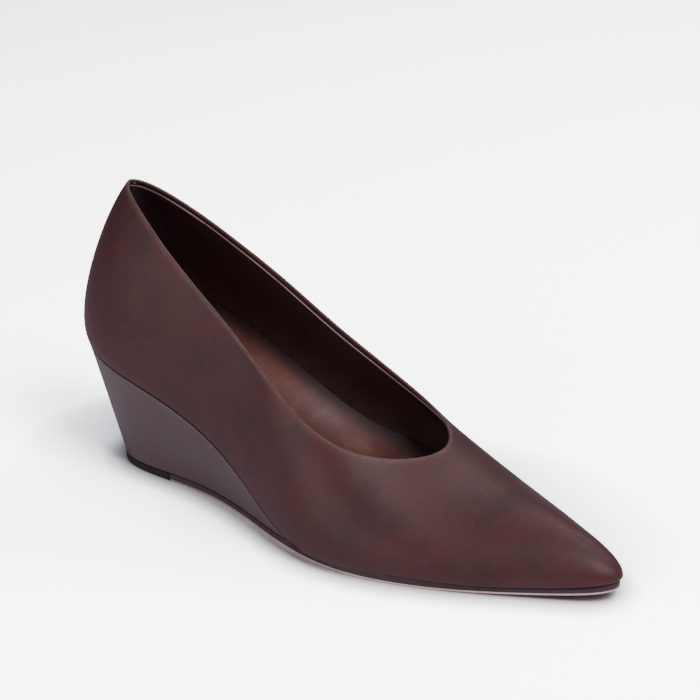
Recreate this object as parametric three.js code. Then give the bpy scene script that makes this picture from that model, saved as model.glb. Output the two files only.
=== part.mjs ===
// A closed wedge pump, right shoe, as five closed solids in millimetres.
// X runs from the heel to the toe, Y to the shoe's left, which is its inner side, and Z up.
// The floor is at Z = 0, and the origin is the middle of the heel tap's flat bottom.
import * as THREE from 'three';

// The last
const LENGTH = 250; // from heel to toe along the feather edge, where upper and bottom meet
const PLAN_WIDTH = 80; // of the ellipse that the widths in the tables are held to
const HEEL_HEIGHT = 56.7; // of the feather edge over the floor, at the back
const INSTEP_HEIGHT = 66; // to which the heights of the spine are held
const SPINE_FROM_BACK = 34; // from the back of the heel to the spine's first point
const SPINE_FROM_TIP = 21.6; // from the spine's last point to the tip of the toe
const TOE_SPRING = 4.3; // lift of the tip of the sole off the floor
const SPRING_START = 0.74; // share of LENGTH at which that lift begins

// The upper
const BACK_HEIGHT = 61.6; // of the topline over the feather edge, at the back
const UPPER_WALL = 2; // leather and lining together
const LASTING_MARGIN = 9; // width turned in under the insole

// The bottom
const INSOLE_THICKNESS = 3;
const INSOLE_SKIVE = 3.4; // how far the insole's edge slopes in towards its top
const SOLE_THICKNESS = 3.2; // of the sole under the wedge, and of the heel tap
const SOLE_BEVEL = 0.7; // slope along the sole's lower edge
const HEEL_RAKE = 14.8; // how far the wedge's foot stands in front of the back of the heel
const SOLE_SETBACK = 1; // from the tip of the upper back to the tip of the sole
const TAP_LENGTH = 37.6;
const WEDGE_END = 0.8; // thickness left at the wedge's front end
const WEDGE_SHOULDER = 0.6; // width of the slope along the wedge's upper edge
const WEDGE_SHOULDER_DROP = 0.05; // height of that slope, in shares of the wedge's height
const CLEARANCE = 0.3; // between pieces that meet

// How finely the solids are faceted
const UPPER_COLUMNS = 46;
const UPPER_ROWS = 13;
const THROAT_COLUMN = 29; // the column that ends at the throat
const BOTTOM_STATIONS = 34;
const REAR_STATIONS = 17; // along the heel tap, and along the sole under the wedge
const WEDGE_ROWS = 5;

// How finely curves are searched and measured
const SEARCH_STEPS = 60;
const HALVINGS = 30;
const SLOPE_REACH = 0.02;
const SAME_POINT = 1e-6;

// Plan of the feather edge. Each half is as wide as an ellipse of LENGTH by PLAN_WIDTH, times the
// fullness given here for its side. In each table `at` is a share of the length from the back.
const PLAN = [
  { at: 0.00, left: 1.465, right: 1.465 },
  { at: 0.06, left: 1.290, right: 1.288 },
  { at: 0.16, left: 1.003, right: 1.005 },
  { at: 0.28, left: 0.775, right: 0.798 },
  { at: 0.42, left: 0.752, right: 0.855 },
  { at: 0.56, left: 0.930, right: 1.130 },
  { at: 0.68, left: 1.035, right: 1.120 },
  { at: 0.80, left: 0.965, right: 0.960 },
  { at: 0.91, left: 0.745, right: 0.755 },
  { at: 1.00, left: 0.660, right: 0.685 },
];

// Plan of the sole and of the wedge's foot, with the same meaning, over the sole's own length.
const GROUND = [
  { at: 0.00, left: 1.240, right: 1.240 },
  { at: 0.06, left: 1.060, right: 1.050 },
  { at: 0.16, left: 0.762, right: 0.766 },
  { at: 0.28, left: 0.612, right: 0.692 },
  { at: 0.42, left: 0.626, right: 0.886 },
  { at: 0.56, left: 0.878, right: 1.075 },
  { at: 0.68, left: 0.990, right: 1.052 },
  { at: 0.80, left: 0.912, right: 0.882 },
  { at: 0.91, left: 0.700, right: 0.695 },
  { at: 1.00, left: 0.610, right: 0.635 },
];

// Height of the feather edge over the outsole: 1 at the back of the heel, 0 at the ball.
const PITCH = [
  { at: 0.00, height: 1.000 },
  { at: 0.10, height: 0.836 },
  { at: 0.22, height: 0.674 },
  { at: 0.34, height: 0.430 },
  { at: 0.45, height: 0.147 },
  { at: 0.55, height: 0.020 },
  { at: 0.66, height: 0.011 },
  { at: 0.78, height: 0.000 },
  { at: 1.00, height: 0.000 },
];

// The spine of the last, from the ankle over the instep to the toe. `height` is over the feather edge in
// shares of INSTEP_HEIGHT, `side` is how far it stands to the left in shares of PLAN_WIDTH.
const SPINE = [
  { at: 0.00, height: 1.162, side: 0.000 },
  { at: 0.20, height: 1.223, side: 0.000 },
  { at: 0.40, height: 1.328, side: 0.000 },
  { at: 0.52, height: 1.004, side: 0.012 },
  { at: 0.62, height: 0.691, side: 0.024 },
  { at: 0.75, height: 0.427, side: 0.031 },
  { at: 0.88, height: 0.338, side: 0.018 },
  { at: 1.00, height: 0.252, side: -0.005 },
];

// Form of the cross sections. `rise` is how far the wall climbs before it turns in, in shares of the
// spine's height, `crown` how flat the top is, in shares of the half width, and `left` and `right` how
// far the wall leans out, in shares of PLAN_WIDTH.
const SECTION = [
  { at: 0.00, rise: 0.180, crown: 0.540, left: 0.092, right: 0.092 },
  { at: 0.15, rise: 0.223, crown: 0.600, left: 0.052, right: 0.085 },
  { at: 0.35, rise: 0.347, crown: 0.570, left: 0.055, right: 0.063 },
  { at: 0.55, rise: 0.436, crown: 0.580, left: 0.061, right: 0.059 },
  { at: 0.75, rise: 0.445, crown: 0.587, left: 0.056, right: 0.065 },
  { at: 0.90, rise: 0.410, crown: 0.648, left: 0.022, right: 0.036 },
  { at: 1.00, rise: 0.385, crown: 0.673, left: 0.012, right: 0.012 },
];

// The topline seen from the side, over the feather edge, in shares of BACK_HEIGHT.
const TOPLINE = [
  { at: 0.00, height: 1.000 },
  { at: 0.06, height: 1.108 },
  { at: 0.14, height: 1.041 },
  { at: 0.26, height: 0.903 },
  { at: 0.38, height: 0.844 },
  { at: 0.48, height: 0.794 },
  { at: 0.60, height: 0.635 },
  { at: 1.00, height: 0.538 },
];

const SIDES = ['left', 'right'];
const toLeft = { left: 1, right: -1 };

// Angle of a share of a length: 0 at the heel, PI at the toe, as on the ellipse that the plan is held to.
function angleAt(share) {
  return Math.acos(1 - 2 * THREE.MathUtils.clamp(share, 0, 1));
}

// One column of a table as a smooth function of the angle, level at both ends.
function smooth(table, name, size) {
  const angle = table.map((row) => angleAt(row.at));
  const value = table.map((row) => row[name] * size);
  const last = table.length - 1;
  const slope = new Array(last + 1).fill(0);
  const carry = new Array(last + 1).fill(0);
  for (let i = 1; i < last; i += 1) {
    const before = 1 / (angle[i] - angle[i - 1]);
    const after = 1 / (angle[i + 1] - angle[i]);
    const pull = 3 * ((value[i] - value[i - 1]) * before ** 2 + (value[i + 1] - value[i]) * after ** 2);
    const pivot = 2 * (before + after) - before * carry[i - 1];
    carry[i] = after / pivot;
    slope[i] = (pull - before * slope[i - 1]) / pivot;
  }
  for (let i = last - 1; i > 0; i -= 1) {
    slope[i] -= carry[i] * slope[i + 1];
  }
  return (at) => {
    let i = 0;
    while (i < last - 1 && at > angle[i + 1]) i += 1;
    const span = angle[i + 1] - angle[i];
    const s = (at - angle[i]) / span;
    const rest = 1 - s;
    return value[i] * rest * rest * (1 + 2 * s) + value[i + 1] * s * s * (3 - 2 * s)
      + slope[i] * span * s * rest * rest - slope[i + 1] * span * s * s * rest;
  };
}

// Smallest root of a function between two ends, by steps and then halving.
function firstRoot(f, from, to) {
  const step = (to - from) / SEARCH_STEPS;
  let low = from;
  while (low < to - step / 2 && f(low) * f(low + step) > 0) {
    low += step;
  }
  let high = Math.min(low + step, to);
  for (let i = 0; i < HALVINGS; i += 1) {
    const mid = (low + high) / 2;
    if (f(low) * f(mid) <= 0) {
      high = mid;
    } else {
      low = mid;
    }
  }
  return (low + high) / 2;
}

const planHalf = Object.fromEntries(SIDES.map((side) => [side, smooth(PLAN, side, PLAN_WIDTH / 2)]));
const groundHalf = Object.fromEntries(SIDES.map((side) => [side, smooth(GROUND, side, PLAN_WIDTH / 2)]));
const leanOut = Object.fromEntries(SIDES.map((side) => [side, smooth(SECTION, side, PLAN_WIDTH)]));
const rise = smooth(SECTION, 'rise', 1);
const crown = smooth(SECTION, 'crown', 1);
const spineHeight = smooth(SPINE, 'height', INSTEP_HEIGHT);
const spineSide = smooth(SPINE, 'side', PLAN_WIDTH);
const toplineHeight = smooth(TOPLINE, 'height', BACK_HEIGHT);
const pitch = smooth(PITCH, 'height', HEEL_HEIGHT - SOLE_THICKNESS - CLEARANCE);

// How far the toe lifts off the floor at a length.
function spring(x) {
  const past = Math.max(0, (x / LENGTH - SPRING_START) / (1 - SPRING_START));
  return TOE_SPRING * past ** 2;
}

// Height of the feather edge at a length.
function featherHeight(x) {
  return SOLE_THICKNESS + CLEARANCE + pitch(angleAt(x / LENGTH)) + spring(x);
}

// A point of the feather edge, or of the line that runs `inset` inside it, raised by `lift`.
function feather(side, angle, inset = 0, lift = 0) {
  const x = LENGTH / 2 - (LENGTH / 2 - inset) * Math.cos(angle);
  const y = toLeft[side] * (planHalf[side](angle) - inset) * Math.sin(angle);
  return new THREE.Vector3(x, y, featherHeight(x) + lift);
}

// A point of the sole's outline, at a height over the sole's underside.
function ground(side, angle, height, inset = 0) {
  const half = (LENGTH - SOLE_SETBACK - HEEL_RAKE) / 2;
  const x = HEEL_RAKE + half - (half - inset) * Math.cos(angle);
  const y = toLeft[side] * (groundHalf[side](angle) - inset) * Math.sin(angle);
  return new THREE.Vector3(x, y, spring(x) + height);
}

// Angle of the sole's outline at a length.
function groundAngle(x) {
  return angleAt((x - HEEL_RAKE) / (LENGTH - SOLE_SETBACK - HEEL_RAKE));
}

// A point of the line over the instep, from the ankle to the toe.
function spine(angle) {
  const run = LENGTH - SPINE_FROM_TIP - SPINE_FROM_BACK;
  const x = SPINE_FROM_BACK + run * (1 - Math.cos(angle)) / 2;
  return new THREE.Vector3(x, spineSide(angle), featherHeight(x) + spineHeight(angle));
}

// How steeply the spine climbs towards the toe.
function spineSlope(angle) {
  const back = spine(Math.max(0, angle - SLOPE_REACH));
  const front = spine(Math.min(Math.PI, angle + SLOPE_REACH));
  return (front.z - back.z) / (front.x - back.x);
}

// The rib of the last at an angle, from the feather edge up and over to the spine.
function rib(side, angle) {
  const foot = feather(side, angle);
  const top = spine(angle);
  const plan = new THREE.Vector3(foot.x - top.x, foot.y - top.y, 0);
  const wall = foot.clone().addScaledVector(plan.clone().normalize(), leanOut[side](angle));
  wall.z += rise(angle) * (top.z - foot.z);
  const over = top.clone().addScaledVector(plan, crown(angle));
  over.z += spineSlope(angle) * (over.x - top.x);
  return new THREE.CubicBezierCurve3(foot, wall, over, top);
}

// How far a point stands above the topline.
function aboveTopline(point) {
  return point.z - featherHeight(point.x) - toplineHeight(angleAt(point.x / LENGTH));
}

// The throat is where the topline crosses the spine, in front of the ankle.
const THROAT = firstRoot((angle) => aboveTopline(spine(angle)), Math.PI / 3, Math.PI * 0.75);

// How far up its rib the topline lies.
function toplineShare(side, angle) {
  const curve = rib(side, angle);
  return firstRoot((t) => aboveTopline(curve.getPoint(t)), 0, 1);
}

// Vertices and faces of one closed solid. A quad's corners run anticlockwise seen from outside.
class Skin {
  constructor() {
    this.points = [];
    this.faces = [];
  }

  add(point) {
    this.points.push(point);
    return this.points.length - 1;
  }

  quad(a, b, c, d) {
    const p = this.points;
    if (p[a].distanceTo(p[c]) < p[b].distanceTo(p[d])) {
      this.triangle(a, b, c);
      this.triangle(a, c, d);
    } else {
      this.triangle(a, b, d);
      this.triangle(b, c, d);
    }
  }

  triangle(a, b, c) {
    if (a !== b && b !== c && c !== a) this.faces.push(a, b, c);
  }

  // A band of quads between two loops with as many points each.
  band(lower, upper) {
    lower.forEach((corner, i) => {
      const next = (i + 1) % lower.length;
      this.quad(corner, lower[next], upper[next], upper[i]);
    });
  }

  geometry() {
    const geometry = new THREE.BufferGeometry();
    const coordinates = this.points.flatMap((point) => point.toArray());
    geometry.setAttribute('position', new THREE.Float32BufferAttribute(coordinates, 3));
    geometry.setIndex(this.faces);
    return geometry;
  }
}

// The columns of the upper from the heel to the toe. Those that end at the topline crowd towards the
// throat at their tops, so that the topline's bend is round.
function upperColumns() {
  return Array.from({ length: UPPER_COLUMNS + 1 }, (_, i) => {
    const share = i / THROAT_COLUMN;
    if (i <= THROAT_COLUMN) {
      return { foot: THROAT * share, top: THROAT * Math.sin(share * Math.PI / 2), open: i < THROAT_COLUMN };
    }
    const angle = THROAT + (Math.PI - THROAT) * (i - THROAT_COLUMN) / (UPPER_COLUMNS - THROAT_COLUMN);
    return { foot: angle, top: angle, open: false };
  });
}

// The upper: the last's surface up to the topline, a wall inwards of it, and the lasting margin that is
// turned in under the foot. It is open at the topline and underneath.
function upperGeometry() {
  const skin = new Skin();
  const columns = upperColumns();
  const last = UPPER_COLUMNS;
  const loop = [
    ...columns.map((column, i) => ({ ...column, side: 'left', i })),
    ...columns.slice(1, last).map((column, i) => ({ ...column, side: 'right', i: i + 1 })).reverse(),
  ];
  const sharedTops = new Map();
  const outer = loop.map(({ side, foot, top, open, i }) => {
    const share = open ? toplineShare(side, top) : 1;
    return Array.from({ length: UPPER_ROWS + 1 }, (_, row) => {
      const s = row / UPPER_ROWS;
      if (row === UPPER_ROWS && !open && sharedTops.has(i)) return sharedTops.get(i);
      const corner = skin.add(rib(side, foot + (top - foot) * s).getPoint(share * s));
      if (row === UPPER_ROWS && !open) sharedTops.set(i, corner);
      return corner;
    });
  });
  for (let i = 0; i < outer.length; i += 1) {
    const next = outer[(i + 1) % outer.length];
    for (let row = 0; row < UPPER_ROWS; row += 1) {
      skin.quad(outer[i][row], outer[i][row + 1], next[row + 1], next[row]);
    }
  }

  // The inside lies one wall in along the outside's own normals, and stands on the lasting margin.
  const surface = skin.geometry();
  surface.computeVertexNormals();
  const normals = surface.getAttribute('normal');
  const insideOf = new Map();
  const inner = outer.map((line, i) => line.map((corner, row) => {
    if (!insideOf.has(corner)) {
      const normal = new THREE.Vector3().fromBufferAttribute(normals, corner);
      const point = row === 0
        ? feather(loop[i].side, loop[i].foot, UPPER_WALL, UPPER_WALL)
        : skin.points[corner].clone().addScaledVector(normal, -UPPER_WALL);
      insideOf.set(corner, skin.add(point));
    }
    return insideOf.get(corner);
  }));
  for (let i = 0; i < inner.length; i += 1) {
    const next = inner[(i + 1) % inner.length];
    for (let row = 0; row < UPPER_ROWS; row += 1) {
      skin.quad(inner[i][row], next[row], next[row + 1], inner[i][row + 1]);
    }
  }

  // The cut edge at the topline.
  for (let i = 0; i < loop.length; i += 1) {
    const k = (i + 1) % loop.length;
    if (loop[i].open || loop[k].open) {
      skin.quad(outer[i][UPPER_ROWS], inner[i][UPPER_ROWS], inner[k][UPPER_ROWS], outer[k][UPPER_ROWS]);
    }
  }

  const marginAt = (lift) => loop.map(
    ({ side, foot }) => skin.add(feather(side, foot, LASTING_MARGIN, lift)),
  );
  const marginUnder = marginAt(0);
  const marginOver = marginAt(UPPER_WALL);
  skin.band(outer.map((line) => line[0]), marginUnder);
  skin.band(marginUnder, marginOver);
  skin.band(marginOver, inner.map((line) => line[0]));
  return skin.geometry();
}

// A solid between layered outlines, from the underside up. Each layer gives a point for a side and an
// angle, and left and right stand at the same length, so the top and the underside are ruled across.
function layered(angles, layers) {
  const skin = new Skin();
  const rings = layers.map((layer) => {
    const left = angles.map((angle) => skin.add(layer('left', angle)));
    const right = angles.map((angle, i) => {
      const point = layer('right', angle);
      return point.distanceTo(skin.points[left[i]]) < SAME_POINT ? left[i] : skin.add(point);
    });
    return { left, right };
  });
  const around = ({ left, right }) => [...new Set([...right, ...left.slice().reverse()])];
  for (let i = 1; i < rings.length; i += 1) {
    skin.band(around(rings[i - 1]), around(rings[i]));
  }
  const under = rings[0];
  const over = rings[rings.length - 1];
  for (let i = 1; i < angles.length; i += 1) {
    skin.quad(over.left[i - 1], over.right[i - 1], over.right[i], over.left[i]);
    skin.quad(under.left[i - 1], under.left[i], under.right[i], under.right[i - 1]);
  }
  return skin.geometry();
}

// Values from one to another in equal steps, with both ends.
function evenly(from, to, steps) {
  return Array.from({ length: steps + 1 }, (_, i) => from + (to - from) * i / steps);
}

// The insole board with its sock, on the lasting margin and inside the upper's wall. Its edge is skived,
// because the wall turns in over it at the toe.
function insoleGeometry() {
  const inset = UPPER_WALL + 2 * CLEARANCE;
  const under = UPPER_WALL + CLEARANCE;
  return layered(evenly(0, Math.PI, BOTTOM_STATIONS), [
    (side, angle) => feather(side, angle, inset, under),
    (side, angle) => feather(side, angle, inset + INSOLE_SKIVE, under + INSOLE_THICKNESS),
  ]);
}

// The wedge runs forward until only its skived end is left over the sole.
const WEDGE_FRONT = firstRoot((angle) => pitch(angle) - WEDGE_END - CLEARANCE, Math.PI / 4, Math.PI);
const WEDGE_FRONT_X = feather('left', WEDGE_FRONT).x;

// The wedge fills the space between the sole and the feather edge, and its wall slopes in to its foot.
function wedgeGeometry() {
  const footShare = groundAngle(WEDGE_FRONT_X) / WEDGE_FRONT;
  const between = (drop) => (side, angle) => {
    const top = feather(side, angle, 0, -CLEARANCE);
    const foot = ground(side, angle * footShare, SOLE_THICKNESS + CLEARANCE);
    return top.lerp(foot, drop);
  };
  const shoulder = (side, angle) => feather(side, angle, WEDGE_SHOULDER, -CLEARANCE);
  const walls = evenly(1, WEDGE_SHOULDER_DROP, WEDGE_ROWS).map(between);
  return layered(evenly(0, WEDGE_FRONT, BOTTOM_STATIONS), [...walls, shoulder]);
}

// The outsole is flat on the floor, butts against the heel tap, runs under the wedge and carries the
// forefoot. Over the wedge's front end it thickens to meet the upper.
function outsoleGeometry() {
  const back = HEEL_RAKE + TAP_LENGTH + CLEARANCE;
  const step = WEDGE_FRONT_X + CLEARANCE;
  const top = (x) => {
    const free = featherHeight(x) - CLEARANCE - spring(x);
    const ramp = THREE.MathUtils.clamp((x - step) / (WEDGE_END + CLEARANCE), 0, 1);
    return SOLE_THICKNESS + (free - SOLE_THICKNESS) * ramp;
  };
  const angles = [
    ...evenly(groundAngle(back), groundAngle(step), REAR_STATIONS),
    ...evenly(groundAngle(step + WEDGE_END + CLEARANCE), Math.PI, BOTTOM_STATIONS),
  ];
  return layered(angles, [
    (side, angle) => ground(side, angle, 0, SOLE_BEVEL),
    (side, angle) => ground(side, angle, SOLE_BEVEL),
    (side, angle) => ground(side, angle, top(ground(side, angle, 0).x)),
  ]);
}

// The heel tap lies under the back of the wedge, as thick as the sole that it butts against.
function heelTapGeometry() {
  const front = groundAngle(HEEL_RAKE + TAP_LENGTH);
  return layered(evenly(0, front, REAR_STATIONS), [
    (side, angle) => ground(side, angle, 0),
    (side, angle) => ground(side, angle, SOLE_THICKNESS),
  ]);
}

// A named piece with its finish.
function piece(name, geometry, color, roughness) {
  const mesh = new THREE.Mesh(geometry, new THREE.MeshStandardMaterial({ color, roughness, metalness: 0 }));
  mesh.name = name;
  return mesh;
}

const shoe = new THREE.Group();
shoe.add(
  piece('upper', upperGeometry(), 0x4b3032, 0.5),
  piece('insole', insoleGeometry(), 0x4a2a20, 0.35),
  piece('wedge', wedgeGeometry(), 0x50393e, 0.5),
  piece('outsole', outsoleGeometry(), 0x7a5a50, 0.6),
  piece('toplift', heelTapGeometry(), 0x1b1718, 0.8),
);
shoe.position.x = -(HEEL_RAKE + TAP_LENGTH / 2);

export default shoe;
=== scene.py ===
"""The wedge pump dressed for its picture: leather, lining, sock, covered wedge, sole and heel tap.

The last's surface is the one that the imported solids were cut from, worked out here more finely. All
lengths of the shoe are in millimetres until a mesh is made, and X is counted from the back of the heel.
"""

import logging
import math
from collections.abc import Sequence
from dataclasses import dataclass, field
from enum import Enum
from functools import cached_property

import bmesh
import bpy
import numpy as np
from mathutils import Matrix, Vector


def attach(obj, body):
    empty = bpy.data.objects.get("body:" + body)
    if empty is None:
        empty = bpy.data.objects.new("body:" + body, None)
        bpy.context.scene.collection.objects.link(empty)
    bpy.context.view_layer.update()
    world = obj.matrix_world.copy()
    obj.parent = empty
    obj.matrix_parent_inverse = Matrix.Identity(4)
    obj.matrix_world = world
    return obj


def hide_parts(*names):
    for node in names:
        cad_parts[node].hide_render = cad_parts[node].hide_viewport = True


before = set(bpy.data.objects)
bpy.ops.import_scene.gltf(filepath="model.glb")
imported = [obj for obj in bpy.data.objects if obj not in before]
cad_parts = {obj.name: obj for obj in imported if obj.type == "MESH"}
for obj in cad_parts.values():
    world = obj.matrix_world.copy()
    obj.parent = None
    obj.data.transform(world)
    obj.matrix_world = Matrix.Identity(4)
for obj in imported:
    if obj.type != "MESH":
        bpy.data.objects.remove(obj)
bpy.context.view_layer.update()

Array = np.ndarray
Colour = tuple[float, float, float, float]

MM = 0.001
log = logging.getLogger("pump")

SHORTEST = 1e-12  # the least length that a vector is divided by
SLOPE_REACH = 0.02  # angle to each side over which the spine's slope is taken
SKIN_STEP = 1e-3  # step in angle and in share that gives directions on the skin
ON_SPINE = 0.998  # share of a rib from which a point counts as on the spine
THROAT_SPAN = (math.pi / 2, math.pi * 0.75)  # angles between which the throat lies
THROAT_HALVINGS = 40  # halvings of that span that find the throat
TOPLINE_TRIES = 121  # places tried on a rib before the topline is closed in on
TOPLINE_HALVINGS = 24  # halvings between two of those places
JUST_OVER = 1e-9  # height at which a rib's end counts as over the topline
POINTS_AT_ONCE = 4000  # points whose distances from the topline are found together
STEADY_RISE = 1e-6  # keeps a wall's heights rising where they are level
SAME_POINT = 2e-6  # metres within which points of a mesh are merged
NO_EDGE = 1e-6  # metres below which an edge of a mesh is dropped


class Side(Enum):
    """A half of the last, with the sign of its Y."""

    LEFT = 1
    RIGHT = -1


def unit(vectors: Array) -> Array:
    """Vectors at length one, along the last axis."""
    return vectors / np.maximum(np.linalg.norm(vectors, axis=-1, keepdims=True), SHORTEST)


def angle_at(share: Array | float) -> Array:
    """Angle of a share of a length: 0 at the heel and pi at the toe."""
    return np.arccos(1 - 2 * np.clip(share, 0, 1))


def fade(distance: Array, reach: float) -> Array:
    """One at no distance, falling smoothly to nothing at `reach`."""
    rest = np.clip(1 - distance / reach, 0, 1)
    return rest * rest * (3 - 2 * rest)


@dataclass(frozen=True)
class Course:
    """One measure of the last along its length, as a smooth curve that is level at both ends."""

    at: tuple[float, ...]
    value: tuple[float, ...]

    @cached_property
    def knots(self) -> tuple[Array, Array, Array]:
        """Angles, values and slopes of the curve's fixed points."""
        angle = angle_at(np.array(self.at))
        value = np.array(self.value, float)
        count = len(angle)
        pull = np.zeros(count)
        system = np.eye(count)
        near = 1 / np.diff(angle)
        for i in range(1, count - 1):
            before, after = near[i - 1], near[i]
            system[i, i - 1 : i + 2] = before, 2 * (before + after), after
            pull[i] = 3 * ((value[i] - value[i - 1]) * before**2 + (value[i + 1] - value[i]) * after**2)
        return angle, value, np.linalg.solve(system, pull)

    def __call__(self, angle: Array) -> Array:
        """The measure at some angles.

        Args:
            angle: Angles in radians, of any shape.

        Returns:
            The measure, in the same shape.
        """
        knot, value, slope = self.knots
        i = np.clip(np.searchsorted(knot, angle, side="right") - 1, 0, len(knot) - 2)
        span = knot[i + 1] - knot[i]
        s = (angle - knot[i]) / span
        rest = 1 - s
        ends = value[i] * rest * rest * (1 + 2 * s) + value[i + 1] * s * s * (3 - 2 * s)
        return ends + slope[i] * span * s * rest * rest - slope[i + 1] * span * s * s * rest


PLAN_AT = (0.0, 0.06, 0.16, 0.28, 0.42, 0.56, 0.68, 0.80, 0.91, 1.0)
SPINE_AT = (0.0, 0.2, 0.4, 0.52, 0.62, 0.75, 0.88, 1.0)
SECTION_AT = (0.0, 0.15, 0.35, 0.55, 0.75, 0.90, 1.0)


@dataclass(frozen=True)
class Last:
    """The form that the shoe is made over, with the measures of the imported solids."""

    length: float = 250.0
    plan_width: float = 80.0
    heel_height: float = 56.7
    instep_height: float = 66.0
    spine_from_back: float = 34.0
    spine_from_tip: float = 21.6
    toe_spring: float = 4.3
    spring_start: float = 0.74
    back_height: float = 61.6
    sole: float = 3.2
    clearance: float = 0.3
    heel_rake: float = 14.8
    sole_setback: float = 1.0
    tap_length: float = 37.6
    plan_left: Course = Course(
        PLAN_AT, (1.465, 1.290, 1.003, 0.775, 0.752, 0.930, 1.035, 0.965, 0.745, 0.660)
    )
    plan_right: Course = Course(
        PLAN_AT, (1.465, 1.288, 1.005, 0.798, 0.855, 1.130, 1.120, 0.960, 0.755, 0.685)
    )
    ground_left: Course = Course(
        PLAN_AT, (1.240, 1.060, 0.762, 0.612, 0.626, 0.878, 0.990, 0.912, 0.700, 0.610)
    )
    ground_right: Course = Course(
        PLAN_AT, (1.240, 1.050, 0.766, 0.692, 0.886, 1.075, 1.052, 0.882, 0.695, 0.635)
    )
    pitch: Course = Course(
        (0.0, 0.10, 0.22, 0.34, 0.45, 0.55, 0.66, 0.78, 1.0),
        (1.0, 0.836, 0.674, 0.430, 0.147, 0.020, 0.011, 0.0, 0.0),
    )
    spine_height: Course = Course(SPINE_AT, (1.162, 1.223, 1.328, 1.004, 0.691, 0.427, 0.338, 0.252))
    spine_side: Course = Course(SPINE_AT, (0.0, 0.0, 0.0, 0.012, 0.024, 0.031, 0.018, -0.005))
    rise: Course = Course(SECTION_AT, (0.180, 0.223, 0.347, 0.436, 0.445, 0.410, 0.385))
    crown: Course = Course(SECTION_AT, (0.540, 0.600, 0.570, 0.580, 0.587, 0.648, 0.673))
    lean_left: Course = Course(SECTION_AT, (0.092, 0.052, 0.055, 0.061, 0.056, 0.022, 0.012))
    lean_right: Course = Course(SECTION_AT, (0.092, 0.085, 0.063, 0.059, 0.065, 0.036, 0.012))
    topline: Course = Course(
        (0.0, 0.06, 0.14, 0.26, 0.38, 0.48, 0.60, 1.0),
        (1.0, 1.108, 1.041, 0.903, 0.844, 0.794, 0.635, 0.538),
    )

    @property
    def origin_x(self) -> float:
        """Where the frame's origin, the middle of the heel tap, lies along the shoe."""
        return self.heel_rake + self.tap_length / 2

    def spring(self, x: Array) -> Array:
        """How far the toe lifts off the floor at a length."""
        past = np.clip((x / self.length - self.spring_start) / (1 - self.spring_start), 0, None)
        return self.toe_spring * past**2

    def feather_height(self, x: Array) -> Array:
        """Height of the feather edge at a length."""
        low = self.sole + self.clearance
        return low + (self.heel_height - low) * self.pitch(angle_at(x / self.length)) + self.spring(x)

    def feather(self, sign: Array, angle: Array, inset: float = 0.0, lift: float = 0.0) -> Array:
        """Points of the feather edge, or of a line inside it.

        Args:
            sign: 1 for the left side and -1 for the right.
            angle: Angles from heel to toe.
            inset: How far inside the feather edge.
            lift: How far above it.

        Returns:
            Points with X, Y and Z along the last axis.
        """
        half = np.where(sign > 0, self.plan_left(angle), self.plan_right(angle)) * self.plan_width / 2
        x = self.length / 2 - (self.length / 2 - inset) * np.cos(angle)
        return np.stack([x, sign * (half - inset) * np.sin(angle), self.feather_height(x) + lift], -1)

    def ground(self, sign: Array, angle: Array, height: Array | float, inset: float = 0.0) -> Array:
        """Points of the sole's outline.

        Args:
            sign: 1 for the left side and -1 for the right.
            angle: Angles from the sole's back to its tip.
            height: Height over the sole's underside.
            inset: How far inside the outline.

        Returns:
            Points with X, Y and Z along the last axis.
        """
        width = np.where(sign > 0, self.ground_left(angle), self.ground_right(angle)) * self.plan_width / 2
        half = (self.length - self.sole_setback - self.heel_rake) / 2
        x = self.heel_rake + half - (half - inset) * np.cos(angle)
        return np.stack([x, sign * (width - inset) * np.sin(angle), self.spring(x) + height], -1)

    def ground_angle(self, x: float) -> float:
        """Angle of the sole's outline at a length."""
        return float(angle_at((x - self.heel_rake) / (self.length - self.sole_setback - self.heel_rake)))

    def spine(self, angle: Array) -> Array:
        """Points of the line over the instep, from the ankle to the toe.

        Args:
            angle: Angles along it.

        Returns:
            Points with X, Y and Z along the last axis.
        """
        run = self.length - self.spine_from_tip - self.spine_from_back
        x = self.spine_from_back + run * (1 - np.cos(angle)) / 2
        z = self.feather_height(x) + self.spine_height(angle) * self.instep_height
        return np.stack([x, self.spine_side(angle) * self.plan_width, z], -1)

    def surface(self, sign: Array, angle: Array, share: Array) -> Array:
        """Points of the last's skin.

        Args:
            sign: 1 for the left side and -1 for the right.
            angle: Angles from heel to toe.
            share: 0 at the feather edge and 1 on the spine.

        Returns:
            Points with X, Y and Z along the last axis.
        """
        sign, angle, share = np.broadcast_arrays(sign, angle, share)
        foot = self.feather(sign, angle)
        top = self.spine(angle)
        back = self.spine(np.maximum(angle - SLOPE_REACH, 0))
        front = self.spine(np.minimum(angle + SLOPE_REACH, math.pi))
        slope = (front[..., 2] - back[..., 2]) / (front[..., 0] - back[..., 0])
        plan = foot - top
        climb = -plan[..., 2]
        plan[..., 2] = 0
        lean = np.where(sign > 0, self.lean_left(angle), self.lean_right(angle)) * self.plan_width
        wall = foot + unit(plan) * lean[..., None]
        wall[..., 2] += self.rise(angle) * climb
        over = top + plan * self.crown(angle)[..., None]
        over[..., 2] += slope * (over[..., 0] - top[..., 0])
        t = share[..., None]
        rest = 1 - t
        return rest**3 * foot + 3 * rest * rest * t * wall + 3 * rest * t * t * over + t**3 * top

    def normal(self, sign: Array, angle: Array, share: Array) -> Array:
        """Outward directions of the last's skin, at the places where `surface` gives points.

        Args:
            sign: 1 for the left side and -1 for the right.
            angle: Angles from heel to toe.
            share: 0 at the feather edge and 1 on the spine.

        Returns:
            Directions with X, Y and Z along the last axis.
        """
        sign, angle, share = np.broadcast_arrays(sign, angle, share)
        step = SKIN_STEP
        low = np.clip(share, 0.0, ON_SPINE)

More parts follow.
